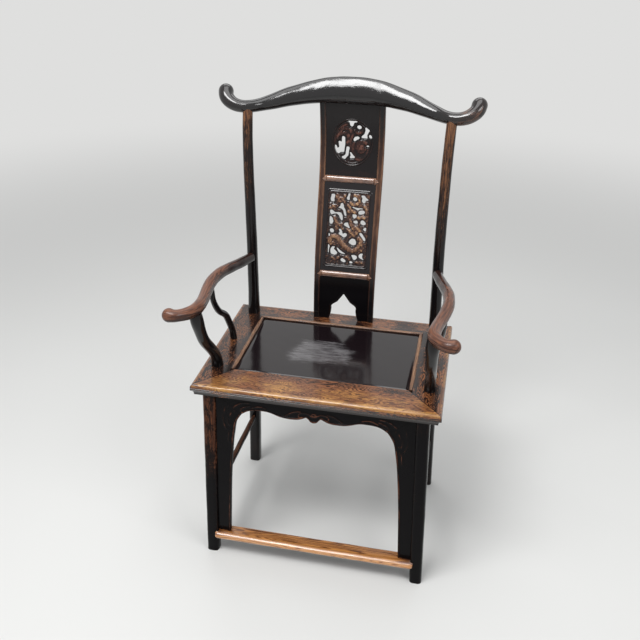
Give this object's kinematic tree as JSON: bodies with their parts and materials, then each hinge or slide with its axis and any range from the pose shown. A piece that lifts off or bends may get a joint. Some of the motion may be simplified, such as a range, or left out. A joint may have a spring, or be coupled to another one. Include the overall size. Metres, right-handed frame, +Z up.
{
  "type": "official hat chair",
  "caption": "Official hat armchair: arched crest rail and S-curved arms with projecting ends, carved back splat, framed panel seat, shaped aprons and a footrest.",
  "frame": {"origin": "on the floor, under the middle of the chair's overall outline", "axes": "+Z up, -Y is the front, +X is the right side seen from the front"},
  "size_m": [0.6176, 0.5265, 1.114],
  "materials": {
    "black_lacquer": "worn black-brown lacquer on elm, glossy, edges rubbed brown",
    "brown_lacquer": "lacquer rubbed to a polished reddish brown",
    "carved_lacquer": "dark lacquer, carving rubbed brown",
    "frame_lacquer": "worn brown lacquer with flecks, glossy",
    "bead_lacquer": "worn lacquer, bare golden wood on the edges",
    "panel_lacquer": "dark lacquer, grey and matt where it is sat on",
    "footrest_lacquer": "elm worn bare, orange brown with strong grain",
    "bare_elm": "plain unlacquered elm, dull"
  },
  "bodies": {
    "root": {"crest_rail": "black_lacquer", "back_post_left": "black_lacquer", "back_post_right": "black_lacquer", "splat_stile_left": "black_lacquer", "splat_stile_right": "black_lacquer", "splat_upper_rail": "brown_lacquer", "splat_lower_rail": "brown_lacquer", "splat_medallion_panel": "carved_lacquer", "splat_openwork_panel": "carved_lacquer", "splat_foot_panel": "black_lacquer", "arm_rail_left": "brown_lacquer", "arm_rail_right": "brown_lacquer", "gooseneck_left": "black_lacquer", "gooseneck_right": "black_lacquer", "arm_post_left": "black_lacquer", "arm_post_right": "black_lacquer", "seat_rail_front": "frame_lacquer", "seat_rail_back": "frame_lacquer", "seat_rail_left": "frame_lacquer", "seat_rail_right": "frame_lacquer", "seat_panel": "panel_lacquer", "seat_bead_left": "bead_lacquer", "seat_bead_right": "bead_lacquer", "seat_bead_back": "bead_lacquer", "seat_batten_left": "bare_elm", "seat_batten_right": "bare_elm", "front_leg_left": "black_lacquer", "front_leg_right": "black_lacquer", "front_apron": "black_lacquer", "front_spandrel_left": "black_lacquer", "front_spandrel_right": "black_lacquer", "side_apron_left": "black_lacquer", "side_apron_right": "black_lacquer", "side_tongue_front_left": "black_lacquer", "side_tongue_front_right": "black_lacquer", "side_tongue_back_left": "black_lacquer", "side_tongue_back_right": "black_lacquer", "back_apron": "black_lacquer", "back_tongue_left": "black_lacquer", "back_tongue_right": "black_lacquer", "footrest": "footrest_lacquer", "side_stretcher_upper_left": "black_lacquer", "side_stretcher_upper_right": "black_lacquer", "side_stretcher_lower_left": "black_lacquer", "side_stretcher_lower_right": "black_lacquer", "back_stretcher": "black_lacquer"}
  },
  "joints": []
}
